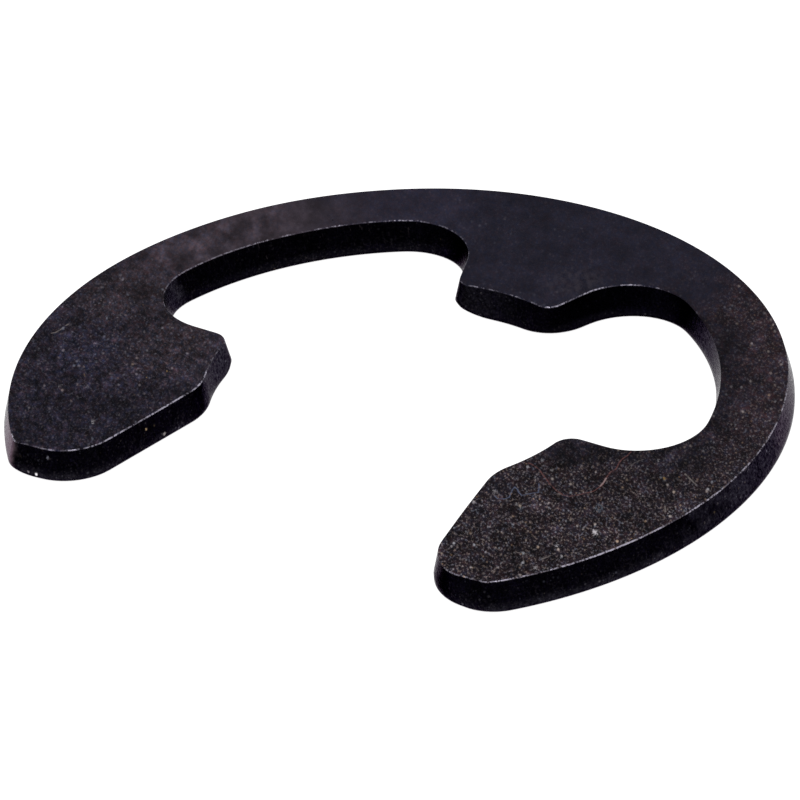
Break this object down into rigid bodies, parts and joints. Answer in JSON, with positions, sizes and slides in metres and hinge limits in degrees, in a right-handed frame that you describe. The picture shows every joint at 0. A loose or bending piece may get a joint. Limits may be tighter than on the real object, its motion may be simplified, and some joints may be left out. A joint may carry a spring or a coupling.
{
  "type": "external e-type retaining ring",
  "caption": "Flat, open retaining ring of E shape, blanked from black spring steel, that snaps sideways into a groove on a shaft and bears there on its inward prongs.",
  "frame": {"origin": "on the shaft axis, at the underside of the clip", "axes": "+Z along the shaft, out of the top (broken) face; +Y from the shaft axis to the middle prong; the mouth opens towards -Y"},
  "size_m": [0.0368, 0.0314, 0.0018],
  "materials": {
    "black_spring_steel": "black phosphate and oil, finely speckled, worn bright along the top edge"
  },
  "bodies": {
    "root": {"retaining_clip": "black_spring_steel"}
  },
  "joints": []
}
